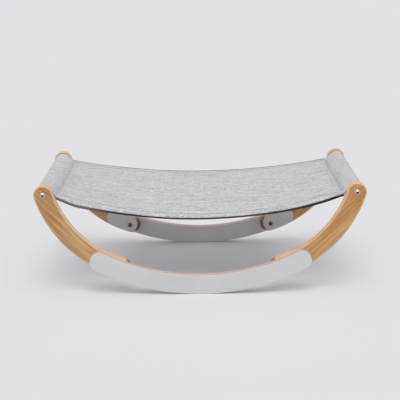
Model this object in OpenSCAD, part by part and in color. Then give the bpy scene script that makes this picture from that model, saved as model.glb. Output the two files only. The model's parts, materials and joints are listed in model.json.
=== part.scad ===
// Rocking cat hammock: two curved side frames, two crossbars and a sagging cloth sling.
// X runs along the sling, Y from the front frame to the rear one, Z up from the floor.
// Angles along a board of a side frame are measured from straight down, about the centre of its curve.

/* [Overall] */
// Length over the round tips of the arms
length = 620; // [560:1:680]
// Depth over the outer faces of the two runners
depth = 355; // [300:1:420]

/* [Side frames] */
// Width of the runner and arm boards, seen from the front
band_w = 36; // [32:0.5:42]
// Radius of the runner's lower edge, on which the hammock rocks
runner_r = 434; // [400:1:470]
// Angle at which the runner's curve and the arm's touch, in the middle of their lap
turn_at = 25.5; // [23:0.1:28]
// Angle of the centre of the runner's round end
runner_end_at = 27.2; // [26.5:0.1:29]
// Angle of the centre of the arm's round tip
tip_at = 73.5; // [68:0.5:78]
// Thickness of a runner board
runner_t = 15; // [12:0.5:20]
// Thickness of an arm board
arm_t = 15; // [12:0.5:20]

/* [Joints of arm and runner] */
// Thickness of a joint plate
plate_t = 9; // [8:0.5:14]
// How much narrower a plate is than the arm, at each long edge
plate_inset = 2; // [1:0.5:4]
// How far a plate's middle line lies off the arm's, towards the inside of the curve
plate_shift = 1.5; // [0:0.5:2]
// Angle of the joint bolt
bolt_at = 17.8; // [16:0.1:19]
// Distance from the joint bolt to the centre of the arm's lower end
arm_tail = 4; // [1:0.5:12]
// Angle of the two joint dowels
dowel_at = 26; // [24:0.1:27]
// Angle of the centre of a plate's outer end
plate_end_at = 27.9; // [26:0.1:29]
// Diameter of a joint dowel
dowel_d = 8; // [6:0.5:9]
// Distance between the two dowels, across the band
dowel_pitch = 16; // [12:0.5:18]
// Depth of a dowel in the joint plate
dowel_in_plate = 6; // [4:0.5:7]
// Depth of a dowel in the runner
dowel_in_runner = 9; // [6:0.5:11]

/* [Fasteners] */
// Thread diameter of all bolts
bolt_d = 6; // [5:0.5:8]
// Diameter of a bolt's domed head
bolt_head_d = 10.5; // [9:0.5:14]
// Height of a bolt's domed head
bolt_head_h = 3.3; // [2.5:0.1:5]
// Width across the flats of the hexagon socket
socket_w = 4; // [3:0.5:5]
// Depth of the hexagon socket
socket_depth = 2.2; // [1.5:0.1:3]
// Outer diameter of a threaded insert
insert_d = 9; // [8.5:0.5:12]
// Length of the insert in a runner
runner_insert_l = 10; // [8:0.5:11]
// Length of the insert in a crossbar
bar_insert_l = 18; // [12:0.5:24]
// How far a tip bolt reaches past its insert
bolt_past = 2; // [0:0.5:5]

/* [Crossbars] */
// Diameter of a crossbar
bar_d = 26; // [20:0.5:30]
// Bevel round the ends of a crossbar
bar_bevel = 1; // [0.5:0.1:2]

/* [Sling] */
// Gap between the sling's side edges and the arms
sling_gap = 2; // [1:0.5:8]
// Thickness of the sling's panel
cloth_t = 3; // [2:0.5:5]
// Thickness of the cloth round a crossbar
sleeve_t = 2; // [1:0.5:3]
// Distance from the crossbar's axis to the seam that closes the sleeve
seam_reach = 25; // [22:0.5:40]
// How far the seam lies below the crossbar's axis
seam_drop = 4.5; // [0:0.5:10]
// How far the straight runs to the seam are tucked into the sleeve's round
sleeve_tuck = 0.2; // [0.1:0.1:1]
// Sag of the front edge below the seams
sag_front = 45; // [20:1:60]
// Sag of the rear edge below the seams
sag_rear = 20; // [10:1:60]
// Shape of the sag: 2 is a parabola, more is flatter in the middle
sag_power = 2.3; // [2:0.1:3]
// How far each long edge draws in at the middle
neck = 8; // [0:0.5:20]
// Height of the shallow folds that fan out from the seams
fold_h = 1.5; // [0:0.1:4]
// Number of folds across the panel
fold_count = 3; // [1:1:5]
// Width of the edge binding
binding_w = 3; // [2:0.5:6]
// Height of the edge binding
binding_h = 4; // [3:0.5:6]

/* [Clearances] */
// Radial clearance of bolts, dowels and inserts in their holes
hole_clearance = 0.06; // [0.02:0.01:0.1]
// Spare depth at the bottom of a blind hole
blind_room = 0.5; // [0.2:0.1:2]
// Gap at each end of a crossbar and under its bolts' heads, so that it can turn
turn_gap = 0.2; // [0.1:0.05:0.5]
// Radial clearance of a crossbar in its sleeve
sleeve_gap = 0.4; // [0.3:0.05:1]

/* [Hidden] */
$fn = 96;
SLING_STEPS = 36;
SLING_ROWS = 12;

CORNERS = [
    ["front_left", -1, -1],
    ["front_right", 1, -1],
    ["rear_left", -1, 1],
    ["rear_right", 1, 1]
];
ENDS = [["left", -1], ["right", 1]];

WOOD = [0.80, 0.64, 0.43];
WHITE = [0.86, 0.86, 0.87];
STEEL = [0.75, 0.76, 0.78];
BRASS = [0.78, 0.66, 0.38];
CLOTH = [0.78, 0.78, 0.80];
DARK = [0.20, 0.20, 0.21];

// Layers of a side frame, as distances from the middle plane to each inner face
runner_y = depth / 2 - runner_t;
arm_y = runner_y - arm_t;
plate_y = arm_y - plate_t;

// Curves of a side frame, by the middle lines of its boards
half_band = band_w / 2;
runner_mid = runner_r - half_band;
runner_centre = [0, runner_r];
tip_x = length / 2 - half_band;
arm_r = (tip_x - runner_r * sin(turn_at) + half_band * sin(tip_at)) / (sin(tip_at) - sin(turn_at));
arm_mid = arm_r - half_band;
arm_centre = runner_centre + (runner_r - arm_r) * [sin(turn_at), -cos(turn_at)];
tip_z = arm_centre.y - arm_mid * cos(tip_at);
arm_end_at = bolt_at - arm_tail / arm_mid * 180 / PI;

// Point at an angle along the arm's middle line, moved outwards across the band
function on_arm(at, out = 0) = arm_centre + (arm_mid + out) * [sin(at), -cos(at)];

// Fasteners
bolt_hole_r = bolt_d / 2 + hole_clearance;
insert_hole_r = insert_d / 2 + hole_clearance;
dowel_hole_r = dowel_d / 2 + hole_clearance;
joint_bolt_l = plate_t + arm_t + runner_insert_l;
bar_end_y = arm_y - turn_gap;
bar_bolt_l = turn_gap + arm_t + turn_gap + bar_insert_l + bolt_past;
dowel_l = dowel_in_plate + arm_t + dowel_in_runner;

// Sling
bar_r = bar_d / 2;
sleeve_in_r = bar_r + sleeve_gap;
sleeve_r = sleeve_in_r + sleeve_t;
sling_half = arm_y - sling_gap;
seam_x = tip_x - seam_reach;
seam_z = tip_z - seam_drop;

// Half width of the cloth panel, inside the binding, at a share u of the way to the seam
function panel_half(u) = sling_half - binding_w - neck * (1 - u * u);
// Sag of the panel at a share v across it, from the front edge at 0 to the rear edge at 1
function sag_across(v) = sag_front + (sag_rear - sag_front) * v;
// Strength of the folds: none at the seam and in the middle, most at two thirds of the way out
function fold_share(u) = 27 / 4 * pow(u, 4) * (1 - u * u);
function panel_z(u, v) =
    seam_z - sag_across(v) * (1 - pow(abs(u), sag_power))
    + fold_h * fold_share(u) * sin(360 * fold_count * v);

// Outline of a board bent about a centre, with half-round ends centred at two angles
module bent_outline(centre, mid_r, from, to, w) {
    reach = 2 * mid_r;
    translate(centre) {
        intersection() {
            difference() {
                circle(mid_r + w / 2);
                circle(mid_r - w / 2);
            }
            polygon([[0, 0], for (at = [from, (from + to) / 2, to]) reach * [sin(at), -cos(at)]]);
        }
        for (at = [from, to])
            translate(mid_r * [sin(at), -cos(at)])
                circle(w / 2);
    }
}

// Stands a flat frame piece up with its inner face at y, in the front frame
module stand(y) {
    translate([0, -y, 0])
        rotate([90, 0, 0])
            children();
}

// Puts a piece made for the front right corner in its own corner
module in_corner(sx, sy) {
    mirror([sx < 0 ? 1 : 0, 0, 0])
        mirror([0, sy > 0 ? 1 : 0, 0])
            children();
}

module dowel_places() {
    for (out = [-dowel_pitch / 2, dowel_pitch / 2])
        translate(on_arm(dowel_at, out))
            children();
}

// Blind holes in a runner's inner face for one joint
module runner_holes() {
    translate(on_arm(bolt_at))
        cylinder(r = insert_hole_r, h = runner_insert_l + blind_room);
    dowel_places()
        cylinder(r = dowel_hole_r, h = dowel_in_runner + blind_room);
}

module runner(sy) {
    color(WHITE)
        mirror([0, sy > 0 ? 1 : 0, 0])
            stand(runner_y)
                difference() {
                    linear_extrude(runner_t)
                        bent_outline(runner_centre, runner_mid, -runner_end_at, runner_end_at, band_w);
                    for (side = [0, 1])
                        mirror([side, 0, 0])
                            runner_holes();
                }
}

module arm(sx, sy) {
    color(WOOD)
        in_corner(sx, sy)
            stand(arm_y)
                difference() {
                    linear_extrude(arm_t)
                        bent_outline(arm_centre, arm_mid, arm_end_at, tip_at, band_w);
                    for (at = [bolt_at, tip_at])
                        translate(on_arm(at))
                            cylinder(r = bolt_hole_r, h = arm_t);
                    dowel_places()
                        cylinder(r = dowel_hole_r, h = arm_t);
                }
}

module joint_plate(sx, sy) {
    plate_w = band_w - 2 * plate_inset;
    color(WHITE)
        in_corner(sx, sy)
            stand(plate_y)
                difference() {
                    linear_extrude(plate_t)
                        bent_outline(arm_centre, arm_mid - plate_shift, bolt_at, plate_end_at, plate_w);
                    translate(on_arm(bolt_at))
                        cylinder(r = bolt_hole_r, h = plate_t);
                    translate([0, 0, plate_t - dowel_in_plate - blind_room])
                        dowel_places()
                            cylinder(r = dowel_hole_r, h = dowel_in_plate + blind_room);
                }
}

// Socket-head bolt along Z: the head's seat is at 0 and the shank points up
module bolt(shank_l) {
    crown_r = (pow(bolt_head_d / 2, 2) + pow(bolt_head_h, 2)) / (2 * bolt_head_h);
    difference() {
        union() {
            cylinder(d = bolt_d, h = shank_l);
            translate([0, 0, -bolt_head_h])
                intersection() {
                    translate([0, 0, crown_r])
                        sphere(crown_r);
                    cylinder(d = bolt_head_d, h = bolt_head_h);
                }
        }
        translate([0, 0, -bolt_head_h])
            cylinder(d = socket_w / cos(30), h = socket_depth, $fn = 6);
    }
}

module threaded_insert(l) {
    difference() {
        cylinder(d = insert_d, h = l);
        cylinder(r = bolt_hole_r, h = l);
    }
}

module joint_bolts() {
    color(STEEL)
        for (c = CORNERS)
            in_corner(c[1], c[2])
                stand(plate_y)
                    translate(on_arm(bolt_at))
                        bolt(joint_bolt_l);
}

module runner_inserts() {
    color(BRASS)
        for (c = CORNERS)
            in_corner(c[1], c[2])
                stand(runner_y)
                    translate(on_arm(bolt_at))
                        threaded_insert(runner_insert_l);
}

module joint_dowels() {
    color(WOOD)
        for (c = CORNERS)
            in_corner(c[1], c[2])
                stand(arm_y - dowel_in_plate)
                    dowel_places()
                        cylinder(d = dowel_d, h = dowel_l);
}

// Puts a piece made on the Y axis on a crossbar's axis
module on_bar(sx) {
    translate([sx * tip_x, 0, tip_z])
        children();
}

// Puts a piece along Z, pointing inwards from 0, at both ends of a crossbar
module at_bar_ends(y) {
    for (turn = [0, 180])
        rotate([0, 0, turn])
            translate([0, -y, 0])
                rotate([-90, 0, 0])
                    children();
}

module crossbar(sx) {
    color(WOOD)
        on_bar(sx)
            difference() {
                rotate([90, 0, 0])
                    rotate_extrude()
                        polygon([
                            [0, -bar_end_y],
                            [bar_r - bar_bevel, -bar_end_y],
                            [bar_r, bar_bevel - bar_end_y],
                            [bar_r, bar_end_y - bar_bevel],
                            [bar_r - bar_bevel, bar_end_y],
                            [0, bar_end_y]
                        ]);
                at_bar_ends(bar_end_y)
                    cylinder(r = insert_hole_r, h = bar_insert_l + bolt_past + blind_room);
            }
}

module bar_inserts(sx) {
    color(BRASS)
        on_bar(sx)
            at_bar_ends(bar_end_y)
                threaded_insert(bar_insert_l);
}

module bar_bolts(sx) {
    color(STEEL)
        on_bar(sx)
            at_bar_ends(runner_y + turn_gap)
                bolt(bar_bolt_l);
}

// Point where a straight run of cloth from p meets the sleeve's round, above it or below it
function meets_round(p, side) =
    let (r = sleeve_r - sleeve_tuck, at = atan2(p.y, p.x) + side * acos(r / norm(p)))
    r * [cos(at), sin(at)];

// Cloth that goes round a crossbar and closes in a seam, where the panel begins
module sleeve(sx) {
    top = [seam_reach, cloth_t / 2 - seam_drop];
    low = [seam_reach, -cloth_t / 2 - seam_drop];
    color(CLOTH)
        on_bar(sx)
            mirror([sx > 0 ? 1 : 0, 0, 0])
                rotate([90, 0, 0])
                    difference() {
                        union() {
                            cylinder(r = sleeve_r, h = 2 * sling_half, center = true);
                            linear_extrude(2 * sling_half, center = true)
                                polygon([meets_round(top, 1), top, low, meets_round(low, -1)]);
                        }
                        cylinder(r = sleeve_in_r, h = 2 * sling_half, center = true);
                    }
}

// Point of the sling at a share u of the way to the right seam; a row is a share across and an offset
function cloth_point(u, row, up) =
    [u * seam_x, (2 * row[0] - 1) * panel_half(u) + row[1], panel_z(u, row[0]) + up];

// Two triangles of a four-cornered face
function split(a, b, c, d) = [[a, b, c], [a, c, d]];

// Closed sheet that follows the sling along the given rows
module cloth_sheet(rows, thick) {
    across = len(rows);
    last = SLING_STEPS;
    low = 0;
    high = (last + 1) * across;
    points = [
        for (up = [-thick / 2, thick / 2], i = [0 : last], row = rows)
            cloth_point(2 * i / last - 1, row, up)
    ];
    function at(face, i, j) = face + i * across + j;
    along = [for (i = [0 : last - 1]) i];
    spread = [for (j = [0 : across - 2]) j];
    faces = concat(
        [for (i = along, j = spread)
            each split(at(low, i, j), at(low, i + 1, j), at(low, i + 1, j + 1), at(low, i, j + 1))],
        [for (i = along, j = spread)
            each split(at(high, i, j), at(high, i, j + 1), at(high, i + 1, j + 1), at(high, i + 1, j))],
        [for (i = along)
            each split(at(low, i, 0), at(high, i, 0), at(high, i + 1, 0), at(low, i + 1, 0))],
        [for (i = along, j = [across - 1])
            each split(at(low, i, j), at(low, i + 1, j), at(high, i + 1, j), at(high, i, j))],
        [for (j = spread)
            each split(at(low, 0, j + 1), at(high, 0, j + 1), at(high, 0, j), at(low, 0, j))],
        [for (j = spread)
            each split(at(low, last, j), at(high, last, j), at(high, last, j + 1), at(low, last, j + 1))]
    );
    polyhedron(points, faces);
}

module sling_panel() {
    color(CLOTH)
        cloth_sheet([for (j = [0 : SLING_ROWS]) [j / SLING_ROWS, 0]], cloth_t);
}

module front_binding() {
    color(DARK)
        cloth_sheet([[0, -binding_w], [0, 0]], binding_h);
}

module rear_binding() {
    color(DARK)
        cloth_sheet([[1, 0], [1, binding_w]], binding_h);
}

runner(-1);  // front_runner
runner(1);  // rear_runner
for (c = CORNERS) {
    arm(c[1], c[2]);
    joint_plate(c[1], c[2]);
}
joint_bolts();
joint_dowels();
runner_inserts();
for (e = ENDS) {
    crossbar(e[1]);
    bar_inserts(e[1]);
    bar_bolts(e[1]);
    sleeve(e[1]);
}
sling_panel();
front_binding();
rear_binding();
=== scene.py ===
import json
import math

import bmesh
import bpy
from mathutils import Matrix, Vector, noise
from mathutils.geometry import interpolate_bezier


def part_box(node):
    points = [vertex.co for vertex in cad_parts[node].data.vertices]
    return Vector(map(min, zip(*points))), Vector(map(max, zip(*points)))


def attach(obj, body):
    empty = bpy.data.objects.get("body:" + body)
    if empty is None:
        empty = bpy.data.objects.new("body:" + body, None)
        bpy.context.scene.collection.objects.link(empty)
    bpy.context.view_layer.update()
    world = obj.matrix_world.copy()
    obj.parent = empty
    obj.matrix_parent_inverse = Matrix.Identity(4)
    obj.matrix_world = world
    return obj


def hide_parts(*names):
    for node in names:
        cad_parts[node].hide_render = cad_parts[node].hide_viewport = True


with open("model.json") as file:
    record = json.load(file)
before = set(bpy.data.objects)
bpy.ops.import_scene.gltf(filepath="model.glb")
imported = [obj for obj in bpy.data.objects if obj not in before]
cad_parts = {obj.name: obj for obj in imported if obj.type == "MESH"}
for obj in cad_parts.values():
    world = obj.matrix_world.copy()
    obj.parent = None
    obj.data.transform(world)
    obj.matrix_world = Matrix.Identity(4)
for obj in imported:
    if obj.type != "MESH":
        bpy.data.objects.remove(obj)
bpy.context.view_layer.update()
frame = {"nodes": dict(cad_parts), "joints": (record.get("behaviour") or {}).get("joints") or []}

# Sizes of the hammock in metres and angles in radians, the same as in its solids
BAND = 0.036
RUNNER_R = 0.434
TURN_AT = math.radians(25.5)
RUNNER_END_AT = math.radians(27.2)
TIP_AT = math.radians(73.5)
BOLT_AT = math.radians(17.8)
ARM_TAIL = 0.004
DOWEL_AT = math.radians(26)
DOWEL_PITCH = 0.016
DOWEL_IN_PLATE = 0.006
DOWEL_IN_RUNNER = 0.009
PLATE_END_AT = math.radians(27.9)
PLATE_SHIFT = 0.0015
PLATE_W = 0.032
HOLE_R = 0.00306
INSERT_HOLE_R = 0.00456
DOWEL_HOLE_R = 0.00406
BLIND_ROOM = 0.0005
RUNNER_INSERT_L = 0.010
BOLT_R = 0.003
BOLT_HEAD_R = 0.00525
BOLT_HEAD_H = 0.0033
BAR_BOLT_L = 0.0354
SOCKET_W = 0.004
SOCKET_DEPTH = 0.0022
SEAM_REACH = 0.025
SEAM_DROP = 0.0045
NECK = 0.008

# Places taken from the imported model
BAR_X, _, BAR_Z = [abs(c) for c in frame["joints"][0]["pos_m"]]
RUNNER_OUT = -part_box("front_runner")[0].y
RUNNER_IN = -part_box("front_runner")[1].y
ARM_IN = -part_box("front_left_arm")[1].y
PLATE_IN = -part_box("front_left_plate")[1].y
SLING_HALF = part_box("left_sleeve")[1].y
BAR_BOLT_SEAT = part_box("left_bar_bolts")[1].y - BOLT_HEAD_H

# Curves of a side frame, in the plane of X and Z
HALF_BAND = BAND / 2
RUNNER_CENTRE = Vector((0, RUNNER_R))
RUNNER_MID = RUNNER_R - HALF_BAND
ARM_R = (BAR_X - RUNNER_R * math.sin(TURN_AT) + HALF_BAND * math.sin(TIP_AT)) / (
    math.sin(TIP_AT) - math.sin(TURN_AT)
)
ARM_MID = ARM_R - HALF_BAND
ARM_CENTRE = RUNNER_CENTRE + (RUNNER_R - ARM_R) * Vector((math.sin(TURN_AT), -math.cos(TURN_AT)))
ARM_END_AT = BOLT_AT - ARM_TAIL / ARM_MID
SEAM_X = BAR_X - SEAM_REACH
SEAM_Z = BAR_Z - SEAM_DROP

CORNERS = {
    "front_left": (-1, -1),
    "front_right": (1, -1),
    "rear_left": (-1, 1),
    "rear_right": (1, 1),
}


# Shader nodes

# Sockets of a node that mixes colours: the two colours and the mix
MIX_FROM, MIX_TO, MIXED = 6, 7, 2


class Shader:
    """A procedural material on one Principled shader, with short names for the nodes that it uses."""

    def __init__(self, name):
        self.material = bpy.data.materials.new(name)
        self.material.use_nodes = True
        self.tree = self.material.node_tree
        self.surface = self.tree.nodes["Principled BSDF"]
        self.coords = self.tree.nodes.new("ShaderNodeTexCoord")

    def put(self, socket, value):
        if isinstance(value, bpy.types.NodeSocket):
            self.tree.links.new(value, socket)
        else:
            socket.default_value = value

    def set(self, **inputs):
        """Sets or links the shader's inputs, with _ for a space in their names."""
        for name, value in inputs.items():
            self.put(self.surface.inputs[name.replace("_", " ")], value)

    def node(self, kind, inputs, **settings):
        made = self.tree.nodes.new(kind)
        for name, value in settings.items():
            setattr(made, name, value)
        for name, value in inputs.items():
            self.put(made.inputs[name], value)
        return made

    def place(self, vector, scale, turn=(0, 0, 0), shift=(0, 0, 0)):
        """Coordinates turned, then stretched by a scale along each axis."""
        turned = self.node("ShaderNodeMapping", {"Vector": vector, "Rotation": turn, "Location": shift})
        return self.node("ShaderNodeMapping", {"Vector": turned.outputs[0], "Scale": scale}).outputs[0]

    def noise(self, vector, scale=1.0, detail=3.0, roughness=0.5, distortion=0.0):
        inputs = {"Vector": vector, "Scale": scale, "Detail": detail, "Roughness": roughness}
        inputs["Distortion"] = distortion
        return self.node("ShaderNodeTexNoise", inputs).outputs[0]

    def waves(self, vector, scale, profile="SIN", along="X", distortion=0.0, detail=2.0, detail_scale=1.0):
        inputs = {"Vector": vector, "Scale": scale, "Distortion": distortion, "Detail": detail}
        inputs["Detail Scale"] = detail_scale
        return self.node(
            "ShaderNodeTexWave", inputs, bands_direction=along, wave_profile=profile
        ).outputs["Fac"]

    def math(self, operation, a, b=0.0):
        made = self.tree.nodes.new("ShaderNodeMath")
        made.operation = operation
        self.put(made.inputs[0], a)
        self.put(made.inputs[1], b)
        return made.outputs[0]

    def spread(self, value, start, end, to_start=0.0, to_end=1.0):
        """A value that goes from start to end, spread over another range."""
        inputs = {"Value": value, "From Min": start, "From Max": end}
        inputs.update({"To Min": to_start, "To Max": to_end})
        return self.node("ShaderNodeMapRange", inputs).outputs[0]

    def mix(self, factor, a, b):
        made = self.tree.nodes.new("ShaderNodeMix")
        made.data_type = "RGBA"
        self.put(made.inputs[0], factor)
        self.put(made.inputs[MIX_FROM], a)
        self.put(made.inputs[MIX_TO], b)
        return made.outputs[MIXED]

    def bump(self, height, distance, strength=1.0):
        inputs = {"Height": height, "Distance": distance, "Strength": strength}
        self.set(Normal=self.node("ShaderNodeBump", inputs).outputs[0])


def linear(red, green, blue):
    """A colour as it looks on a screen, from 0 to 255, as shader numbers by the sRGB curve."""

    def channel(value):
        share = value / 255
        return share / 12.92 if share <= 0.04045 else ((share + 0.055) / 1.055) ** 2.4

    return (channel(red), channel(green), channel(blue), 1.0)


# How the pine's grain lies, how its rings wander and crowd, and how dark their late wood is
GRAIN_TURN = math.radians(43)
GRAIN_SHIFT = 0.31
RING_WANDER = 0.045
RING_CROWDING = 0.016
RING_SHARPNESS = 4.0
LATE_WOOD = 0.9
DARK_TONE = 0.45
# Painted shade on an arm's lower end: from how far off the middle it starts to where it is darkest, and how
# dark it gets on faces and on edges
PAINTED_SHADE_END = (0.143, 0.137)
PAINTED_SHADE_ON_FACE = 0.85
PAINTED_SHADE_ON_EDGE = 0.8


def pine_rings(s, space, lie):
    """The late wood of the year rings, from 0 to 1."""
    across = s.node("ShaderNodeSeparateXYZ", {"Vector": s.place(space, scale=(1, 1, 1), **lie)}).outputs[2]
    wander = s.noise(s.place(space, scale=(5, 16, 16), **lie), detail=2)
    rings = s.math("ADD", across, s.math("MULTIPLY", wander, RING_WANDER))
    uneven = s.noise(s.node("ShaderNodeCombineXYZ", {"X": rings}).outputs[0], scale=90, detail=1)
    spacing = s.math("ADD", rings, s.math("MULTIPLY", uneven, RING_CROWDING))
    line = s.waves(s.node("ShaderNodeCombineXYZ", {"X": spacing}).outputs[0], scale=34, profile="SAW")
    return s.math("POWER", line, RING_SHARPNESS)


def make_pine(name, side, pale, brown, end_shade):
    """Plain-sawn pine, its grain a little flatter than the arm's chord, its lower end darkened by painted
    shade.
    """
    s = Shader(name)
    lie = {"turn": (0, side * GRAIN_TURN, 0), "shift": (side * GRAIN_SHIFT, 0, 0)}
    space = s.coords.outputs["Object"]
    late = pine_rings(s, space, lie)
    fibre = s.noise(s.place(space, scale=(40, 1100, 1100), **lie), detail=3, roughness=0.6)
    streak = s.noise(s.place(space, scale=(8, 130, 130), **lie), detail=3, roughness=0.6)
    tone = s.noise(s.place(space, scale=(6, 34, 34), **lie), detail=1)
    colour = s.mix(s.spread(tone, start=0.36, end=0.64), pale, s.mix(DARK_TONE, pale, brown))
    colour = s.mix(s.math("MULTIPLY", late, LATE_WOOD), colour, brown)
    colour = s.mix(s.spread(streak, start=0.44, end=0.68, to_end=0.6), colour, brown)
    colour = s.mix(s.spread(streak, start=0.5, end=0.34, to_end=0.5), colour, linear(240, 206, 158))
    colour = s.mix(s.spread(fibre, start=0.42, end=0.7, to_end=0.25), colour, linear(150, 104, 60))
    lengthwise, _, height = s.node("ShaderNodeSeparateXYZ", {"Vector": space}).outputs
    colour = s.mix(s.spread(height, start=0.11, end=0.05, to_end=0.3), colour, linear(240, 208, 166))
    colour = s.mix(s.spread(height, start=0.13, end=0.2, to_end=0.3), colour, brown)
    from_middle = s.math("ABSOLUTE", lengthwise)
    # Painted shade: the arm's end towards the middle darkened to dark brown
    end_shade_mask = s.spread(from_middle, *PAINTED_SHADE_END, to_end=end_shade)
    colour = s.mix(end_shade_mask, colour, linear(112, 66, 32))
    s.set(Base_Color=colour, Roughness=s.spread(fibre, start=0.3, end=0.7, to_start=0.40, to_end=0.56))
    s.bump(s.math("ADD", s.math("MULTIPLY", late, -0.5), fibre), distance=0.00012, strength=0.5)
    return s.material


def make_white_face():
    """Satin white lacquered face with a faint orange peel."""
    s = Shader("white_face")
    space = s.coords.outputs["Object"]
    cloud = s.noise(space, scale=9, detail=2)
    peel = s.noise(space, scale=900, detail=2)
    along = s.place(space, scale=(60, 60, 420), turn=(0, math.radians(20), 0))
    scuff = s.noise(along, detail=4, roughness=0.65)
    colour = s.mix(s.spread(cloud, start=0.35, end=0.65), linear(221, 222, 222), linear(227, 227, 227))
    colour = s.mix(s.spread(scuff, start=0.62, end=0.8, to_end=0.25), colour, linear(214, 214, 214))
    s.set(Base_Color=colour, Roughness=s.spread(scuff, start=0.3, end=0.75, to_start=0.36, to_end=0.5))
    s.bump(peel, distance=0.00003, strength=0.3)
    return s.material


def make_raw_edge():
    """Rounded raw edge of the white boards: thin plies across the thickness."""
    s = Shader("raw_edge")
    space = s.coords.outputs["Object"]
    ply = s.waves(space, scale=105, along="Y", distortion=0.4, detail=1, detail_scale=30)
    fibre = s.noise(s.place(space, scale=(90, 900, 90)), detail=4, roughness=0.6)
    blotch = s.noise(space, scale=28, detail=2)
    colour = s.mix(s.spread(ply, start=0.2, end=0.8), linear(226, 200, 184), linear(208, 172, 152))
    colour = s.mix(s.spread(blotch, start=0.35, end=0.65, to_end=0.4), colour, linear(226, 206, 198))
    colour = s.mix(s.spread(fibre, start=0.45, end=0.75, to_end=0.35), colour, linear(176, 132, 108))
    s.set(Base_Color=colour, Roughness=s.spread(fibre, start=0.3, end=0.7, to_start=0.6, to_end=0.78))
    s.bump(s.math("ADD", fibre, s.math("MULTIPLY", ply, 0.6)), distance=0.00015, strength=0.5)
    return s.material


def make_beech():
    """Plain beech with short flecks along Y."""
    s = Shader("beech")
    space = s.coords.outputs["Object"]
    grain = s.noise(s.place(space, scale=(260, 9, 260)), detail=3)
    fleck = s.noise(s.place(space, scale=(1400, 130, 1400)), detail=2)
    colour = s.mix(s.spread(grain, start=0.3, end=0.7), linear(214, 182, 144), linear(190, 150, 108))
    colour = s.mix(s.spread(fleck, start=0.6, end=0.75, to_end=0.6), colour, linear(146, 104, 70))
    s.set(Base_Color=colour, Roughness=s.spread(grain, start=0.3, end=0.7, to_start=0.5, to_end=0.65))
    s.bump(fleck, distance=0.00008, strength=0.4)
    return s.material


def make_metal(name, bright, dull, low_rough, high_rough):
    """Plated metal with fine turning marks and faint stains."""
    s = Shader(name)
    space = s.coords.outputs["Object"]
    stain = s.noise(space, scale=420, detail=3)
    marks = s.noise(s.place(space, scale=(2600, 500, 2600)), detail=2)
    colour = s.mix(s.spread(stain, start=0.35, end=0.7), bright, dull)
    rough = s.spread(marks, start=0.3, end=0.7, to_start=low_rough, to_end=high_rough)
    s.set(Base_Color=colour, Metallic=1.0, Roughness=rough)
    s.bump(marks, distance=0.00001, strength=0.4)
    return s.material


def make_cloth():
    """Pale grey marled cloth: plain weave with slubs and darker yarns along the sling."""
    s = Shader("marled_cloth")
    flat = s.coords.outputs["UV"]
    warp = s.waves(flat, scale=620, along="X")
    weft = s.waves(flat, scale=620, along="Y")
    weave = s.math("MULTIPLY", warp, weft)
    yarn = s.noise(s.place(flat, scale=(110, 560, 1)), detail=3, roughness=0.6)
    slub = s.noise(s.place(flat, scale=(40, 210, 1)), detail=4, roughness=0.65, distortion=0.3)
    grain = s.noise(s.place(flat, scale=(150, 430, 1)), detail=3, roughness=0.6)
    patch = s.noise(s.place(flat, scale=(12, 46, 1)), detail=3)
    streak = s.noise(s.place(flat, scale=(9, 170, 1)), detail=2, roughness=0.6)
    colour = s.mix(s.spread(slub, start=0.36, end=0.64), linear(182, 182, 186), linear(234, 234, 236))
    colour = s.mix(s.spread(yarn, start=0.48, end=0.68, to_end=0.7), colour, linear(152, 152, 158))
    colour = s.mix(s.spread(grain, start=0.5, end=0.66, to_end=0.7), colour, linear(250, 250, 250))
    colour = s.mix(s.spread(grain, start=0.5, end=0.34, to_end=0.5), colour, linear(150, 150, 156))
    colour = s.mix(s.spread(patch, start=0.35, end=0.7, to_end=0.3), colour, linear(236, 236, 238))
    colour = s.mix(s.spread(streak, start=0.54, end=0.7, to_end=0.4), colour, linear(246, 246, 247))
    colour = s.mix(s.spread(streak, start=0.46, end=0.3, to_end=0.3), colour, linear(160, 160, 166))
    between = s.spread(weave, start=0.0, end=0.5, to_start=0.25, to_end=0.0)
    colour = s.mix(between, colour, linear(150, 150, 156))
    s.set(Base_Color=colour, Roughness=0.92, Sheen_Weight=0.12, Sheen_Roughness=0.5)
    height = s.math("ADD", s.math("MULTIPLY", weave, 0.7), s.math("ADD", yarn, slub))
    s.bump(height, distance=0.0003, strength=0.6)
    return s.material


def make_yarn(name, light, dark):
    """Sewing yarn with a faint twist."""
    s = Shader(name)
    space = s.coords.outputs["Object"]
    turned = s.place(space, scale=(1, 1, 1), turn=(0, math.radians(35), 0))
    twist = s.waves(turned, scale=420, distortion=1.0, detail_scale=60)
    fuzz = s.noise(space, scale=1800, detail=3)
    colour = s.mix(s.spread(twist, start=0.2, end=0.8), dark, light)
    colour = s.mix(s.spread(fuzz, start=0.55, end=0.8, to_end=0.4), colour, light)
    s.set(Base_Color=colour, Roughness=0.88, Sheen_Weight=0.1)
    s.bump(s.math("ADD", twist, fuzz), distance=0.0002, strength=0.5)
    return s.material


def make_overlock():
    """Dark yarn wound round the cloth's edge, with the edge showing between its turns."""
    s = Shader("overlock")
    turns, loose, _ = s.node("ShaderNodeSeparateXYZ", {"Vector": s.coords.outputs["UV"]}).outputs
    ridge = s.math("ABSOLUTE", s.math("SINE", s.math("MULTIPLY", turns, math.pi)))
    fuzz = s.noise(s.coords.outputs["Object"], scale=1600, detail=3)
    gap = s.mix(loose, linear(60, 60, 64), linear(214, 214, 218))
    colour = s.mix(s.spread(ridge, start=0.3, end=0.65), gap, linear(16, 16, 18))
    colour = s.mix(s.spread(fuzz, start=0.5, end=0.75, to_end=0.3), colour, linear(60, 60, 64))
    s.set(Base_Color=colour, Roughness=0.9, Sheen_Weight=0.1)
    s.bump(s.math("ADD", ridge, fuzz), distance=0.0002, strength=0.5)
    return s.material


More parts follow.
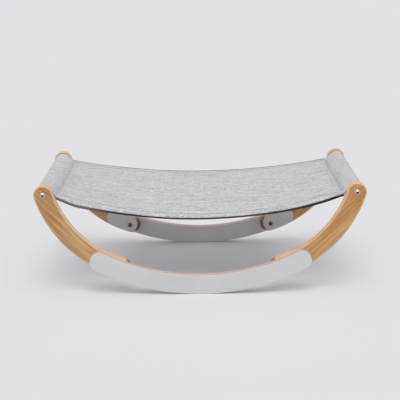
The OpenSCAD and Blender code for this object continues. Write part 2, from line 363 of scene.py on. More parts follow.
PINE = {
    (-1, -1): make_pine("pine_front_left", -1, linear(224, 179, 123), linear(170, 112, 58), PAINTED_SHADE_ON_FACE),
    (1, -1): make_pine("pine_front_right", 1, linear(232, 182, 118), linear(184, 118, 54), PAINTED_SHADE_ON_FACE),
    (-1, 1): make_pine("pine_rear_left", -1, linear(232, 178, 110), linear(178, 110, 48), PAINTED_SHADE_ON_FACE),
    (1, 1): make_pine("pine_rear_right", 1, linear(230, 170, 94), linear(180, 108, 40), PAINTED_SHADE_ON_FACE),
}
# Paler pine on the arms' rounded corners and edges: partly the lighter edge grain, partly a painted
# highlight where light from above catches them
PINE_EDGE_AND_HIGHLIGHT = {
    -1: make_pine("pine_edge_and_highlight_left", -1, linear(246, 214, 176), linear(222, 176, 128), PAINTED_SHADE_ON_EDGE),
    1: make_pine("pine_edge_and_highlight_right", 1, linear(246, 212, 170), linear(224, 172, 118), PAINTED_SHADE_ON_EDGE),
}
WHITE_FACE = make_white_face()
RAW_EDGE = make_raw_edge()
BEECH = make_beech()
STEEL = make_metal("steel", linear(222, 223, 226), linear(190, 191, 195), 0.16, 0.30)
ZINC = make_metal("zinc", linear(150, 157, 165), linear(116, 122, 130), 0.26, 0.42)
# Painted shade: the insides of the bolts' hexagon sockets nearly black, where shade falls in them
SOCKET_SHADE = make_metal("socket_painted_shade", linear(14, 14, 15), linear(8, 8, 9), 0.5, 0.65)
BRASS = make_metal("brass", linear(224, 196, 122), linear(186, 152, 84), 0.22, 0.38)
CLOTH = make_cloth()
OVERLOCK = make_overlock()
GREY_YARN = make_yarn("grey_yarn", linear(206, 206, 210), linear(168, 168, 174))
# Dark hem yarn: partly the stitching, partly painted shade for the shadow line along the hem's fold
DARK_YARN_AND_SHADE = make_yarn("dark_yarn_and_painted_shade", linear(84, 84, 90), linear(56, 56, 62))


# Meshes


def add_piece(name, points, faces, materials, indices=None, smooth=True):
    """A mesh object in the scene, with a material for each face."""
    mesh = bpy.data.meshes.new(name)
    mesh.from_pydata(points, [], faces)
    for material in materials:
        mesh.materials.append(material)
    if indices:
        mesh.polygons.foreach_set("material_index", indices)
    mesh.polygons.foreach_set("use_smooth", [smooth] * len(mesh.polygons))
    piece = bpy.data.objects.new(name, mesh)
    bpy.context.scene.collection.objects.link(piece)
    return piece


def tidy_mesh(piece, merge=1e-6):
    """Joins points that coincide and turns all faces outwards."""
    work = bmesh.new()
    work.from_mesh(piece.data)
    bmesh.ops.remove_doubles(work, verts=work.verts, dist=merge)
    bmesh.ops.recalc_face_normals(work, faces=work.faces)
    work.to_mesh(piece.data)
    work.free()


def apply_modifiers(piece):
    """Makes what a piece's modifiers show its own mesh."""
    depsgraph = bpy.context.evaluated_depsgraph_get()
    made = bpy.data.meshes.new_from_object(piece.evaluated_get(depsgraph))
    piece.modifiers.clear()
    old = piece.data
    piece.data = made
    bpy.data.meshes.remove(old)


def ring_faces(base, rings, sides):
    """Four-sided faces between closed rings of points that follow one another from a first point."""
    faces = []
    for low in range(base, base + (rings - 1) * sides, sides):
        high = low + sides
        for k in range(sides):
            after = (k + 1) % sides
            faces.append((low + k, low + after, high + after, high + k))
    return faces


def grid_faces(rows, steps):
    """Four-sided faces between rows of points, each row with one point more than its steps."""
    corners = [j * (steps + 1) + i for j in range(rows) for i in range(steps)]
    return [(a, a + 1, a + steps + 2, a + steps + 1) for a in corners]


def finish_piece(piece, body, slot, *nodes):
    """Says which body carries a piece and which nodes it stands for, and hides these; what it is made of,
    slot, is not used.
    """
    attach(piece, body)
    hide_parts(*nodes)
    return piece


# Boards of the side frames


def on_curve(centre, radius, at):
    """The point of a circle at an angle from straight down."""
    return centre + radius * Vector((math.sin(at), -math.cos(at)))


BOLT_PLACE = on_curve(ARM_CENTRE, ARM_MID, BOLT_AT)
TIP_PLACE = on_curve(ARM_CENTRE, ARM_MID, TIP_AT)
# How far a hole's cutter goes past a face
PAST = 0.001
ARM_CORNER = 0.0025
BOARD_CORNER = 0.0008
CORNER_STEPS = 5
ARC_STEPS = 44
CAP_STEPS = 10
HOLE_SIDES = 40
FLAT_FACE_WEIGHT = 100
# Places in a board's list of materials
ON_FACE, ON_CORNER, ON_EDGE = 0, 1, 2


def band_stations(centre, mid_r, first, last, half):
    """Pairs of points along a bent band with half-round ends: its outer edge and its inner edge."""
    pairs = []
    steps = [(first, -90 + 90 * i / CAP_STEPS) for i in range(CAP_STEPS)]
    steps += [(first + (last - first) * i / ARC_STEPS, 0) for i in range(ARC_STEPS + 1)]
    steps += [(last, 90 * (i + 1) / CAP_STEPS) for i in range(CAP_STEPS)]
    for at, cap in steps:
        out = Vector((math.sin(at), -math.cos(at)))
        along = Vector((math.cos(at), math.sin(at)))
        middle = centre + mid_r * out + half * math.sin(math.radians(cap)) * along
        reach = half * math.cos(math.radians(cap))
        pairs.append((middle + reach * out, middle - reach * out))
    return pairs


def make_board(name, place, curve, half, depths, corner, materials):
    """A bent board between two depths with rounded corners; materials are for faces, corners and edges."""
    side, depth_side = place
    y_from, y_to = depths
    layers = []
    for i in range(CORNER_STEPS + 1):
        turn = math.radians(90 * i / CORNER_STEPS)
        layers.append((y_from + corner * (1 - math.cos(turn)), corner * (1 - math.sin(turn))))
    layers += [(y_from + y_to - y, inset) for y, inset in reversed(layers)]
    points = []
    for y, inset in layers:
        pairs = band_stations(*curve, half - inset)
        outline = [outer for outer, inner in pairs] + [inner for outer, inner in reversed(pairs)]
        points += [(side * p.x, depth_side * y, p.y) for p in outline]
    count = len(outline)
    faces, indices = ring_faces(0, len(layers), count), []
    for layer in range(len(layers) - 1):
        indices += [ON_EDGE if layer == CORNER_STEPS else ON_CORNER] * count
    for base in (0, (len(layers) - 1) * count):
        for i in range(count // 2 - 1):
            faces.append((base + i, base + i + 1, base + count - 2 - i, base + count - 1 - i))
            indices.append(ON_FACE)
    board = add_piece(name, points, faces, materials, indices)
    tidy_mesh(board)
    return board


def drill(board, place, holes):
    """Cuts round holes along Y; a hole is its middle in X and Z, its radius and its two depths."""
    side, depth_side = place
    work = bmesh.new()
    for middle, radius, y_from, y_to in holes:
        centre = Vector((side * middle.x, depth_side * (y_from + y_to) / 2, middle.y))
        turn = Matrix.Translation(centre) @ Matrix.Rotation(math.radians(90), 4, "X")
        bmesh.ops.create_cone(
            work,
            cap_ends=True,
            segments=HOLE_SIDES,
            radius1=radius,
            radius2=radius,
            depth=y_to - y_from,
            matrix=turn,
        )
    mesh = bpy.data.meshes.new("holes")
    work.to_mesh(mesh)
    work.free()
    cutter = bpy.data.objects.new("holes", mesh)
    bpy.context.scene.collection.objects.link(cutter)
    cut = board.modifiers.new("holes", "BOOLEAN")
    cut.operation = "DIFFERENCE"
    cut.solver = "EXACT"
    cut.object = cutter
    apply_modifiers(board)
    bpy.data.objects.remove(cutter)
    bpy.data.meshes.remove(mesh)
    even = board.modifiers.new("even_shading", "WEIGHTED_NORMAL")
    even.weight = FLAT_FACE_WEIGHT


def dowel_holes(y_from, y_to):
    """Holes for the two dowels of a joint, between two depths."""
    return [
        (on_curve(ARM_CENTRE, ARM_MID + out, DOWEL_AT), DOWEL_HOLE_R, y_from, y_to)
        for out in (-DOWEL_PITCH / 2, DOWEL_PITCH / 2)
    ]


def make_runner(name, depth_side):
    curve = (RUNNER_CENTRE, RUNNER_MID, -RUNNER_END_AT, RUNNER_END_AT)
    depths = (RUNNER_IN, RUNNER_OUT)
    materials = [WHITE_FACE, WHITE_FACE, RAW_EDGE]
    board = make_board(name + "_board", (1, depth_side), curve, HALF_BAND, depths, BOARD_CORNER, materials)
    holes = []
    insert_floor = RUNNER_IN + RUNNER_INSERT_L + BLIND_ROOM
    dowel_floor = RUNNER_IN + DOWEL_IN_RUNNER + BLIND_ROOM
    for side in (-1, 1):
        here = [(BOLT_PLACE, INSERT_HOLE_R, RUNNER_IN - PAST, insert_floor)]
        here += dowel_holes(RUNNER_IN - PAST, dowel_floor)
        holes += [(Vector((side * middle.x, middle.y)), *rest) for middle, *rest in here]
    drill(board, (1, depth_side), holes)
    finish_piece(board, "frame", "white_board", name)


def make_arm(name, place):
    curve = (ARM_CENTRE, ARM_MID, ARM_END_AT, TIP_AT)
    side, _ = place
    materials = [PINE[place], PINE_EDGE_AND_HIGHLIGHT[side], PINE_EDGE_AND_HIGHLIGHT[side]]
    board = make_board(name + "_board", place, curve, HALF_BAND, (ARM_IN, RUNNER_IN), ARM_CORNER, materials)
    through = (ARM_IN - PAST, RUNNER_IN + PAST)
    holes = [(BOLT_PLACE, HOLE_R, *through), (TIP_PLACE, HOLE_R, *through)]
    drill(board, place, holes + dowel_holes(*through))
    finish_piece(board, "frame", "pine", name)


def make_plate(name, place):
    curve = (ARM_CENTRE, ARM_MID - PLATE_SHIFT, BOLT_AT, PLATE_END_AT)
    materials = [WHITE_FACE, RAW_EDGE, RAW_EDGE]
    depths = (PLATE_IN, ARM_IN)
    board = make_board(name + "_board", place, curve, PLATE_W / 2, depths, BOARD_CORNER, materials)
    holes = [(BOLT_PLACE, HOLE_R, PLATE_IN - PAST, ARM_IN + PAST)]
    holes += dowel_holes(ARM_IN - DOWEL_IN_PLATE - BLIND_ROOM, ARM_IN + PAST)
    drill(board, place, holes)
    finish_piece(board, "frame", "white_board", name)


for depth_name, depth_side in (("front", -1), ("rear", 1)):
    make_runner(depth_name + "_runner", depth_side)
for corner, place in CORNERS.items():
    make_arm(corner + "_arm", place)
    make_plate(corner + "_plate", place)


# Bolts


BOLT_SIDES = 48
DOME_STEPS = 8
DOME_SHORT = 0.0002
RIM_SHARE = 0.62
HEAD_SIDE = 0.0004
SEAT_ROUND = 0.0001
NECK_ROUND = 0.0003
TIP_CHAMFER = 0.0008
SOCKET_POINT = 0.0006
# Depth under the head's top and widening of the socket's rings, from its floor to its rim
SOCKET_RINGS = ((SOCKET_DEPTH, 1.0), (0.0004, 1.0), (0.00012, 1.06))
SHARP_ANGLE = math.radians(38)
BOLT_TURNS = [2 * math.pi * i / BOLT_SIDES for i in range(BOLT_SIDES)]
# Places in a bolt's list of materials
ON_METAL, ON_SOCKET = 0, 1


def bolt_profile(shank_l):
    """Radius and height of each ring of a domed bolt from its socket's rim to its tip; the seat is at 0."""
    crown = (BOLT_HEAD_R**2 + BOLT_HEAD_H**2) / (2 * BOLT_HEAD_H)
    rim_r = SOCKET_W * RIM_SHARE
    dome = []
    for i in range(DOME_STEPS + 1):
        r = rim_r + (BOLT_HEAD_R - DOME_SHORT - rim_r) * i / DOME_STEPS
        dome.append((r, crown - BOLT_HEAD_H - math.sqrt(crown**2 - r**2)))
    head = [(BOLT_HEAD_R, -HEAD_SIDE), (BOLT_HEAD_R - SEAT_ROUND, 0.0)]
    shank = [(BOLT_R + NECK_ROUND, 0.0), (BOLT_R, NECK_ROUND), (BOLT_R, shank_l - TIP_CHAMFER)]
    return dome + head + shank + [(BOLT_R - TIP_CHAMFER, shank_l)]


def bolt_rings(shank_l):
    """Rings of a bolt from its socket's floor to its tip; a point is a radius, a turn and a height."""
    sixth = math.pi / 3
    rings = []
    for deep, wider in SOCKET_RINGS:
        reach = wider * SOCKET_W / 2
        rings.append([(reach / math.cos(t % sixth - sixth / 2), t, deep - BOLT_HEAD_H) for t in BOLT_TURNS])
    for r, deep in bolt_profile(shank_l):
        rings.append([(r, t, deep) for t in BOLT_TURNS])
    return rings


def make_bolts(name, body, node_name, metal, places, shank_l):
    """Domed bolts with hexagon sockets; a place is the seat's middle and the shank's way along Y."""
    points, faces, indices = [], [], []
    rings = bolt_rings(shank_l)
    for seat, way in places:
        base = len(points)
        for ring in rings:
            points += [seat + Vector((r * math.cos(t), way * d, r * math.sin(t))) for r, t, d in ring]
        last, socket_middle = len(points) - BOLT_SIDES, len(points)
        for deep in (SOCKET_DEPTH + SOCKET_POINT - BOLT_HEAD_H, shank_l):
            points.append(seat + Vector((0, way * deep, 0)))
        walls = ring_faces(base, len(rings), BOLT_SIDES)
        faces += walls
        indices += [ON_SOCKET] * BOLT_SIDES + [ON_METAL] * (len(walls) - BOLT_SIDES)
        for i in range(BOLT_SIDES):
            after = (i + 1) % BOLT_SIDES
            faces += [(socket_middle, base + after, base + i), (socket_middle + 1, last + i, last + after)]
            indices += [ON_SOCKET, ON_METAL]
    bolts = add_piece(name, points, faces, [metal, SOCKET_SHADE], indices)
    tidy_mesh(bolts)
    sharp = bolts.modifiers.new("sharp_edges", "EDGE_SPLIT")
    sharp.split_angle = SHARP_ANGLE
    finish_piece(bolts, body, "steel", node_name)


for side_name, side in (("left", -1), ("right", 1)):
    seats = [(Vector((side * BAR_X, way * -BAR_BOLT_SEAT, BAR_Z)), way) for way in (-1, 1)]
    bar, bolts_node = side_name + "_crossbar", side_name + "_bar_bolts"
    make_bolts(side_name + "_tip_bolts", bar, bolts_node, STEEL, seats, BAR_BOLT_L)
joint_seats = [
    (Vector((side * BOLT_PLACE.x, depth_side * PLATE_IN, BOLT_PLACE.y)), depth_side)
    for side, depth_side in CORNERS.values()
]
joint_bolt_l = RUNNER_IN - PLATE_IN + RUNNER_INSERT_L
make_bolts("plate_bolts", "frame", "joint_bolts", ZINC, joint_seats, joint_bolt_l)

for node_name, metal_or_wood in (
    ("runner_inserts", BRASS),
    ("left_bar_inserts", BRASS),
    ("right_bar_inserts", BRASS),
    ("joint_dowels", BEECH),
    ("left_crossbar", BEECH),
    ("right_crossbar", BEECH),
):
    node_object = frame["nodes"][node_name]
    node_object.data.materials.clear()
    node_object.data.materials.append(metal_or_wood)


# Sling

# The cloth, and how it rolls over a crossbar
CLOTH_T = 0.0016
LAP = 0.0002
LOOP_R = 0.0144
ALLOWANCE = 0.012
ROLL_STEEP = math.radians(78)
ROLL_LEAVES_AT = math.radians(75)
ROLL_HANDLE = 0.36
ROLL_EASE = 0.016
# Steps of its mesh
BED_STEPS = 120
ACROSS_STEPS = 64
LOOP_STEPS = 26
ROLL_STEPS = 14
ALLOWANCE_STEPS = 4
RUN_SHARES = (0.05, 0.12, 0.26, 0.42, 0.58, 0.74, 0.88)
NEAR_SEAM = (0.0009, 0.0022)
# How the panel hangs from its seams, and what its corners add to that on the left, -1, and the right, 1
HANG_FRONT = 0.044
HANG_REAR = 0.016
HANG_HOLLOW = -0.004
HANG_POWER = 2.2
CORNER_DROOP = {-1: 0.0055, 1: 0.0}
DROOP_AT = 0.89
DROOP_W = 0.1
DROOP_DEPTH = 0.030
FRONT_DROOP = 0.0015
CORNER_LIFT = {-1: 0.0055, 1: 0.0030}
LIFT_AT = 0.9
LIFT_W = 0.2
LIFT_DEPTH = 0.060
CORNER_DRAW = 0.0025
DRAW_FROM = 0.86
DRAW_DEPTH = 0.025
# Folds beside the seams, which u**4 * (1 - u * u) shapes with a peak of 4 / 27, and wrinkles
FOLD_H = 0.0015
FOLD_COUNT = 3
FOLD_SCALE = 27 / 4
WRINKLE_H = 0.0016
WRINKLES_ALONG = 1.6
WRINKLES_ACROSS = 11
WRINKLE_SLANT = 0.25
WRINKLE_FREE = 0.08
NOISE_LAYER = 0.37
# The drape's length, and how far it may move a point
DRAPE_STEPS = 24
DRAPE_CAP = 0.009
TINY = 1e-9
# The hems, with the groove of their stitches and their roll at the front, 0, and the rear, 1
HEM_W = 0.016
HEM_EASE = 0.0025
HEM_RISE = 0.0005
HEM_ROW = 0.0135
HEM_FINE = 0.020
HEM_STEP = 0.00125
GROOVE_DEEP = 0.0008
GROOVE_W = 0.0018
HEM_ROLL = {0: 0.0018, 1: 0.0008}
ROLL_W = 0.007
# Puckers and dip of the cloth beside a seam
PUCKER_H = 0.00035
PUCKER_PITCH = 0.0085
PUCKER_REACH = 0.012
PUCKER_WAVER = 2
WAVERS_ALONG = 14
WAVERS_ACROSS = 99
SEAM_DIP = 0.0014
DIP_W = 0.003


def smooth_step(low, high, value):
    share = min(max((value - low) / (high - low), 0.0), 1.0)
    return share * share * (3 - 2 * share)


def hung_point(x, across):
    """The panel before it is draped, at a share across it from the front edge, 0, to the rear, 1."""
    u = x / SEAM_X
    side = -1 if u < 0 else 1
    from_front, from_rear = across * 2 * SLING_HALF, (1 - across) * 2 * SLING_HALF
    hang = HANG_FRONT + (HANG_REAR - HANG_FRONT) * across + HANG_HOLLOW * 4 * across * (1 - across)
    droop = CORNER_DROOP[side] * math.exp(-(((abs(u) - DROOP_AT) / DROOP_W) ** 2)) + FRONT_DROOP
    lift = CORNER_LIFT[side] * math.exp(-(((abs(u) - LIFT_AT) / LIFT_W) ** 2))
    folds = FOLD_H * FOLD_SCALE * u**4 * (1 - u * u) * math.sin(2 * math.pi * FOLD_COUNT * across)
    ripple = Vector((u * WRINKLES_ALONG, across * WRINKLES_ACROSS + WRINKLE_SLANT * u, NOISE_LAYER))
    wrinkle = WRINKLE_H * noise.noise(ripple)
    z = SEAM_Z - hang * (1 - abs(u) ** HANG_POWER)
    z += lift * math.exp(-from_rear / LIFT_DEPTH) - droop * math.exp(-from_front / DROOP_DEPTH)
    z += folds + wrinkle * smooth_step(0.0, WRINKLE_FREE, 1 - abs(u))
    drawn = CORNER_DRAW * math.exp(-from_front / DRAW_DEPTH) * smooth_step(DRAW_FROM, 1.0, abs(u))
    return Vector((x + side * drawn, (2 * across - 1) * (SLING_HALF - NECK * (1 - u * u)), z + drawn))


def make_limp(panel, held):
    """Makes a panel behave as cloth that is held at a group of its points."""
    cloth = panel.modifiers.new("cloth", "CLOTH")
    cloth.collision_settings.use_collision = False
    cloth.point_cache.frame_end = DRAPE_STEPS
    fabric = cloth.settings
    fabric.vertex_group_mass = held.name
    fabric.quality = 6
    fabric.mass = 0.01
    fabric.tension_stiffness = fabric.compression_stiffness = 30
    fabric.shear_stiffness = 10
    fabric.bending_stiffness = 0.05
    fabric.air_damping = 2


def drape_panel():
    """Rows of points of the panel, front to rear, after it has settled as a cloth held at its seams."""
    rows = [
        [hung_point(SEAM_X * (2 * i / BED_STEPS - 1), j / ACROSS_STEPS) for i in range(BED_STEPS + 1)]
        for j in range(ACROSS_STEPS + 1)
    ]
    start = [p for row in rows for p in row]
    panel = add_piece("panel", start, grid_faces(ACROSS_STEPS, BED_STEPS), [])
    held = panel.vertex_groups.new(name="seams")
    count = BED_STEPS + 1
    held.add([j * count + i for j in range(ACROSS_STEPS + 1) for i in (0, BED_STEPS)], 1.0, "REPLACE")
    make_limp(panel, held)
    for step in range(1, DRAPE_STEPS + 1):
        bpy.context.scene.frame_set(step)
    settled = panel.evaluated_get(bpy.context.evaluated_depsgraph_get()).to_mesh()
    points = []
    for p, vertex in zip(start, settled.vertices):
        move = vertex.co - p
        points.append(p + move * min(1.0, DRAPE_CAP / max(move.length, TINY)))
    bpy.context.scene.frame_set(1)
    bpy.data.meshes.remove(panel.data)
    return [points[j * count : (j + 1) * count] for j in range(ACROSS_STEPS + 1)]


PANEL = drape_panel()


def bed_detail(u, across):
    """What sewing adds to the draped panel: the hem's ridge and roll, and the dip and puckers of a seam."""
    edge = min(across, 1 - across) * 2 * SLING_HALF
    to_seam = (1 - abs(u)) * SEAM_X
    hem = HEM_RISE * (1 - smooth_step(HEM_W - HEM_EASE, HEM_W, edge))
    hem -= HEM_ROLL[round(across)] * max(1 - edge / ROLL_W, 0) ** 2
    hem -= GROOVE_DEEP * math.exp(-(((edge - HEM_ROW) / GROOVE_W) ** 2))
    dip = SEAM_DIP * math.exp(-to_seam / DIP_W)
    waver = PUCKER_WAVER * noise.noise(Vector((u * WAVERS_ALONG, across * WAVERS_ACROSS, NOISE_LAYER)))
    pucker = PUCKER_H * math.exp(-to_seam / PUCKER_REACH)
    pucker *= math.sin(2 * math.pi * across * 2 * SLING_HALF / PUCKER_PITCH + waver)
    return hem + pucker - dip


def bed_point(x, across):
    """The sewn panel at a place along it and a share across it."""
    u = x / SEAM_X
    column, row = (u + 1) / 2 * BED_STEPS, across * ACROSS_STEPS
    i, j = min(int(column), BED_STEPS - 1), min(int(row), ACROSS_STEPS - 1)
    front = PANEL[j][i].lerp(PANEL[j][i + 1], column - i)
    rear = PANEL[j + 1][i].lerp(PANEL[j + 1][i + 1], column - i)
    return front.lerp(rear, row - j) + Vector((0, 0, bed_detail(u, across)))


def bed_line(across):
    """The sewn panel from seam to seam, with points close together beside the seams."""
    places = [SEAM_X * (2 * i / BED_STEPS - 1) for i in range(BED_STEPS + 1)]
    places += [side * (SEAM_X - reach) for side in (-1, 1) for reach in NEAR_SEAM]
    return [bed_point(x, across) for x in sorted(places)]


def end_profile(side, across):
    """Points of the cloth past a seam: up over the crossbar, round it and back under the panel."""
    axis = Vector((side * BAR_X, BAR_Z))
    seam = bed_point(side * SEAM_X, across)
    y = seam.y
    upper = Vector((seam.x, seam.z))
    lower = upper - Vector((0, CLOTH_T + LAP))

    def leaves_at(p, way):
        to_p = p - axis
        return math.atan2(to_p.y, -side * to_p.x) + way * math.acos(LOOP_R / to_p.length)

    def on_loop(at):
        return axis + LOOP_R * Vector((-side * math.cos(at), math.sin(at)))

    full = smooth_step(0.0, ROLL_EASE, min(across, 1 - across) * 2 * SLING_HALF)
    taut = leaves_at(upper, 1)
    start, end = taut + (ROLL_LEAVES_AT - taut) * full, leaves_at(lower, -1) + 2 * math.pi
    steep = math.pi / 2 - taut + (ROLL_STEEP - math.pi / 2 + taut) * full
    handle = ROLL_HANDLE * (on_loop(start) - upper).length
    rising = upper + handle * Vector((side * math.cos(steep), math.sin(steep)))
    rounding = on_loop(start) + handle * Vector((-side * math.sin(start), -math.cos(start)))
    points = interpolate_bezier(upper, rising, rounding, on_loop(start), ROLL_STEPS + 1)[1:-1]
    points += [on_loop(start + (end - start) * i / LOOP_STEPS) for i in range(LOOP_STEPS + 1)]
    points += [on_loop(end).lerp(lower, 1 - share) for share in reversed(RUN_SHARES)] + [lower]
    made = [Vector((p.x, y, p.y)) for p in points]
    for i in range(1, ALLOWANCE_STEPS + 1):
        p = bed_point(side * (SEAM_X - ALLOWANCE * i / ALLOWANCE_STEPS), across)
        made.append(p - Vector((0, 0, CLOTH_T + LAP)))
    return made


def sling_line(across):
    """The whole cloth from end to end, at a share across it."""
    return end_profile(-1, across)[::-1] + bed_line(across) + end_profile(1, across)


def sling_shares():
    """Shares across the sling at which it has a row of points, close together in the hems."""
    width = 2 * SLING_HALF
    hem = [HEM_STEP * i / width for i in range(round(HEM_FINE / HEM_STEP) + 1)]
    inside = [j / ACROSS_STEPS for j in range(ACROSS_STEPS + 1)]
    apart = HEM_FINE + HEM_STEP
    inside = [share for share in inside if apart < share * width < width - apart]
    return hem + inside + [1 - share for share in reversed(hem)]


def make_sling():
    """The cloth in one piece, and its length along the middle."""
    shares = sling_shares()
    lines = [sling_line(share) for share in shares]
    count = len(lines[0])
    middle = lines[len(lines) // 2]
    run = [0.0]
    for a, b in zip(middle, middle[1:]):
        run.append(run[-1] + (b - a).length)
    points = [p for line in lines for p in line]
    sling = add_piece("sling_cloth", points, grid_faces(len(lines) - 1, count - 1), [CLOTH])
    layer = sling.data.uv_layers.new(name="cloth")
    for loop in sling.data.loops:
        i, j = loop.vertex_index % count, loop.vertex_index // count
        layer.data[loop.index].uv = (run[i], shares[j] * 2 * SLING_HALF)
    thick = sling.modifiers.new("thickness", "SOLIDIFY")
    thick.thickness = CLOTH_T
    thick.offset = 0
    apply_modifiers(sling)
    return finish_piece(sling, "frame", "cloth", "sling_panel", "left_sleeve", "right_sleeve"), run[-1]


# Overlocked edges, with their rise over the cloth at the front, 0, and the rear, 1
BINDING_SIDES = 12
BINDING_STEP = 0.0008
BINDING_PITCH = 0.0048
BINDING_HALF_W = 0.0012
BINDING_HALF_H = {"end": 0.0024, "middle": 0.0014}
BINDING_RIDGE = 0.00035
BINDING_RISE = {0: 0.0, 1: 0.0018}
BINDING_TUCK = 0.7
BINDING_SWELL = (0.3, 0.95)
LOOSE_FROM = (0.55, 0.9)
END_UV = (0.5, 0.0)


def even_points(line, step):
    """Points at equal steps along a line."""
    runs = [0.0]
    for a, b in zip(line, line[1:]):
        runs.append(runs[-1] + (b - a).length)
    count = round(runs[-1] / step)
    made, at = [], 0
    for i in range(count + 1):
        want = runs[-1] * i / count
        while at < len(runs) - 2 and runs[at + 1] < want:
            at += 1
        share = (want - runs[at]) / (runs[at + 1] - runs[at])
        made.append(line[at].lerp(line[at + 1], share))
    return made, runs[-1]


def binding_ring(p, ahead, turned, across):
    """Points round an overlocked edge at a place on the cloth's edge, after so many turns of its yarn."""
    inwards = Vector((0, 1 if across == 0 else -1, 0))
    sideways = Vector((0, 1, 0))
    up = ahead.cross(sideways).normalized()
    toward_end = smooth_step(*BINDING_SWELL, abs(p.x) / SEAM_X)
    half_h = BINDING_HALF_H["middle"] + (BINDING_HALF_H["end"] - BINDING_HALF_H["middle"]) * toward_end
    drop = half_h + BINDING_RIDGE - BINDING_RISE[across]
    middle = p + inwards * BINDING_HALF_W * BINDING_TUCK - up * drop
    points = []
    for k in range(BINDING_SIDES):
        turn = 2 * math.pi * k / BINDING_SIDES
        ridge = BINDING_RIDGE * abs(math.sin(math.pi * turned + turn / 2))
        y = math.cos(turn) * (BINDING_HALF_W + ridge)
        points.append(middle + sideways * y + up * math.sin(turn) * (half_h + ridge))
    return points


def make_binding(name, node_name, across):
    """Overlocked edge: yarn wound round the cloth's edge, as one tube with a twisted ridge."""
    line, length = even_points(bed_line(across), BINDING_STEP)
    steps = len(line) - 1
    turns = [length * i / steps / BINDING_PITCH for i in range(steps + 1)]
    loose = [smooth_step(*LOOSE_FROM, -p.x / SEAM_X) for p in line]
    points, uvs = [], []
    for i, p in enumerate(line):
        ahead = (line[min(i + 1, steps)] - line[max(i - 1, 0)]).normalized()
        points += binding_ring(p, ahead, turns[i], across)
    for i in range(steps):
        for k in range(BINDING_SIDES):
            here, there = k / BINDING_SIDES, (k + 1) / BINDING_SIDES
            uvs += [(turns[i] + here, loose[i]), (turns[i] + there, loose[i])]
            uvs += [(turns[i + 1] + there, loose[i + 1]), (turns[i + 1] + here, loose[i + 1])]
    faces = ring_faces(0, steps + 1, BINDING_SIDES)
    for first in (0, steps * BINDING_SIDES):
        faces.append(tuple(first + k for k in range(BINDING_SIDES)))
        uvs += [END_UV] * BINDING_SIDES
    binding = add_piece(name, points, faces, [OVERLOCK])
    layer = binding.data.uv_layers.new(name="turns")
    for loop, uv in zip(layer.data, uvs):
        loop.uv = uv
    tidy_mesh(binding)
    return finish_piece(binding, "frame", "binding", node_name)


STITCH_PITCH = 0.0036
STITCH_L = 0.0025
STITCH_R = 0.00040
STITCH_SIDES = 6
# Places along a stitch, as shares of its length, and its thickness there
STITCH_RINGS = ((-0.5, 0.25), (-0.36, 0.85), (0.0, 1.0), (0.36, 0.85), (0.5, 0.25))
STITCH_PROUD = 0.35
STITCH_MERGE = 1e-7
SEAM_ROWS = (0.0025, 0.0085)
SEAM_ROW_GAP = 0.004
SEAM_ROW_STEPS = 80
HEM_ROW_REACH = 0.985
HEM_ROW_STEPS = 160


def add_stitch(points, faces, middle, ahead):
    """A stitch: a short yarn with closed tapered ends, along a direction."""
    sideways = ahead.cross(Vector((0, 0, 1))).normalized()
    up = sideways.cross(ahead)
    base = len(points)
    for along, fat in STITCH_RINGS:
        for k in range(STITCH_SIDES):
            turn = 2 * math.pi * k / STITCH_SIDES
            out = sideways * math.cos(turn) + up * math.sin(turn)
            points.append(middle + ahead * along * STITCH_L + out * fat * STITCH_R)
    faces += ring_faces(base, len(STITCH_RINGS), STITCH_SIDES)
    faces.append(tuple(base + k for k in reversed(range(STITCH_SIDES))))
    last = len(points) - STITCH_SIDES
    faces.append(tuple(last + k for k in range(STITCH_SIDES)))


def make_stitches(name, lines, yarn):
    """Rows of stitches on the cloth's upper face."""
    points, faces = [], []
    lift = Vector((0, 0, CLOTH_T / 2 + STITCH_R * STITCH_PROUD))
    for line in lines:
        spots, _ = even_points(line, STITCH_PITCH)
        for a, b in zip(spots, spots[1:]):
            add_stitch(points, faces, (a + b) / 2 + lift, (b - a).normalized())
    stitches = add_piece(name, points, faces, [yarn])
    tidy_mesh(stitches, merge=STITCH_MERGE)
    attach(stitches, "frame")
    return stitches


def seam_line(side, from_seam):
    """The line of a row of stitches beside a seam."""
    x = side * (SEAM_X - from_seam)
    first, run = SEAM_ROW_GAP / (2 * SLING_HALF), 1 - SEAM_ROW_GAP / SLING_HALF
    return [bed_point(x, first + run * j / SEAM_ROW_STEPS) for j in range(SEAM_ROW_STEPS + 1)]


def hem_line(across):
    """The line of a row of stitches in a hem."""
    reach = SEAM_X * HEM_ROW_REACH
    return [bed_point(reach * (2 * i / HEM_ROW_STEPS - 1), across) for i in range(HEM_ROW_STEPS + 1)]


sling, sling_length = make_sling()
front_edge = make_binding("front_overlock", "front_binding", 0)
rear_edge = make_binding("rear_overlock", "rear_binding", 1)
hem_share = HEM_ROW / (2 * SLING_HALF)
seam_rows = [seam_line(side, row) for side in (-1, 1) for row in SEAM_ROWS]
hem_rows = [hem_line(hem_share), hem_line(1 - hem_share)]
stitches = [
    make_stitches("seam_stitches", seam_rows, GREY_YARN),
    make_stitches("hem_stitches", hem_rows, DARK_YARN_AND_SHADE),
]


# Floor, light and camera

BACKGROUND = linear(226, 226, 230)
FLOOR_HALF = 30.0
# The floor's fade: its reach along X and Y, the share of that where it starts, and its two strengths
FADE_REACH = (0.45, 0.60)
FADE_FROM = 0.3
FADE_NEAR = 0.08
FADE_FAR = 0.85
# Strength of the sky behind, in front, added at both sides, and how much of it is left at the horizon
SKY = 0.39
SKY_FRONT = 0.33
SKY_SIDES = 1.5
SKY_LOW = 0.15
SKY_COLOUR = (0.985, 0.985, 1.0, 1.0)
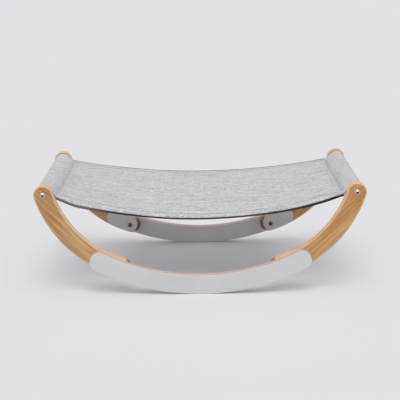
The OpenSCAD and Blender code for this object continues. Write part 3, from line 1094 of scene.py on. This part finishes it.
# Where it changes, by the Y and the Z of a direction
SKY_TURNS = (-1.0, 0.2)
SKY_RISES = (0.0, 0.7)
SUN_STRENGTH = 1.30
SUN_WIDTH = math.radians(34)
SUN_TOWARD = (0.0, 0.4, -1.0)
CAMERA_AT = (-0.0001, -2.052, 0.6621)
CAMERA_DOWN = math.radians(14.338)
CAMERA_ROLL = math.radians(-0.618)
SENSOR_W = 36
LENS_PIXELS = 1050
IMAGE_W = 400


def make_floor():
    """A pale floor that keeps the hammock's shadow and fades into the background away from it."""
    s = Shader("floor")
    space = s.coords.outputs["Object"]
    cloud = s.noise(space, scale=1.5, detail=2)
    colour = s.mix(s.spread(cloud, start=0.3, end=0.7), linear(227, 227, 231), linear(230, 230, 234))
    s.set(Base_Color=colour, Roughness=0.75)
    stretched = s.place(space, scale=(1 / FADE_REACH[0], 1 / FADE_REACH[1], 1.0))
    away = s.node("ShaderNodeVectorMath", {0: stretched}, operation="LENGTH").outputs["Value"]
    ray = s.node("ShaderNodeLightPath", {}).outputs
    mirrored = s.math("ADD", ray["Is Glossy Ray"], ray["Is Transmission Ray"])
    seen = s.math("ADD", ray["Is Camera Ray"], mirrored)
    fade = s.spread(away, start=FADE_FROM, end=1.0, to_start=FADE_NEAR, to_end=FADE_FAR)
    faded = s.math("MULTIPLY", fade, seen)
    shown = s.node("ShaderNodeEmission", {"Color": BACKGROUND}).outputs[0]
    mixed = s.node("ShaderNodeMixShader", {0: faded, 1: s.surface.outputs[0], 2: shown}).outputs[0]
    s.put(s.tree.nodes["Material Output"].inputs["Surface"], mixed)
    half = FLOOR_HALF
    corners = [(-half, -half, 0), (half, -half, 0), (half, half, 0), (-half, half, 0)]
    floor = add_piece("floor", corners, [(0, 1, 2, 3)], [s.material], smooth=False)


def make_world():
    """Soft light from above and mostly from the left and right, on a pale background."""
    world = bpy.data.worlds.new("studio")
    bpy.context.scene.world = world
    world.use_nodes = True
    tree = world.node_tree

    def node(kind, *inputs, **settings):
        made = tree.nodes.new(kind)
        for name, value in settings.items():
            setattr(made, name, value)
        for socket, value in zip(made.inputs, inputs):
            if isinstance(value, bpy.types.NodeSocket):
                tree.links.new(value, socket)
            else:
                socket.default_value = value
        return made.outputs

    x, y, z = node("ShaderNodeSeparateXYZ", node("ShaderNodeTexCoord")["Generated"])
    front_to_rear = node("ShaderNodeMapRange", y, *SKY_TURNS, SKY_FRONT, SKY)[0]
    both_sides = node("ShaderNodeMath", x, x, operation="MULTIPLY")[0]
    level = node("ShaderNodeMath", both_sides, SKY_SIDES, front_to_rear, operation="MULTIPLY_ADD")[0]
    height = node("ShaderNodeMapRange", z, *SKY_RISES, SKY_LOW, 1.0)[0]
    strength = node("ShaderNodeMath", level, height, operation="MULTIPLY")[0]
    light = node("ShaderNodeBackground", SKY_COLOUR, strength)[0]
    shown = node("ShaderNodeBackground", BACKGROUND)[0]
    ray = node("ShaderNodeLightPath")
    seen = node("ShaderNodeMath", ray["Is Camera Ray"], ray["Is Glossy Ray"], operation="ADD")[0]
    seen = node("ShaderNodeMath", seen, ray["Is Transmission Ray"], operation="ADD")[0]
    tree.links.new(node("ShaderNodeMixShader", seen, light, shown)[0], tree.nodes["World Output"].inputs[0])


def make_sun():
    lamp = bpy.data.lights.new("key", "SUN")
    lamp.energy = SUN_STRENGTH
    lamp.angle = SUN_WIDTH
    sun = bpy.data.objects.new("key", lamp)
    sun.rotation_euler = Vector(SUN_TOWARD).to_track_quat("-Z", "Y").to_euler()
    bpy.context.scene.collection.objects.link(sun)


def make_camera():
    data = bpy.data.cameras.new("camera")
    data.sensor_width = SENSOR_W
    data.lens = SENSOR_W * LENS_PIXELS / IMAGE_W
    camera = bpy.data.objects.new("camera", data)
    camera.location = CAMERA_AT
    tilt = Matrix.Rotation(math.radians(90) - CAMERA_DOWN, 4, "X")
    camera.rotation_euler = (tilt @ Matrix.Rotation(CAMERA_ROLL, 4, "Z")).to_euler()
    bpy.context.scene.collection.objects.link(camera)
    bpy.context.scene.camera = camera


make_floor()
make_world()
make_sun()
make_camera()
bpy.context.scene.view_settings.view_transform = "Standard"
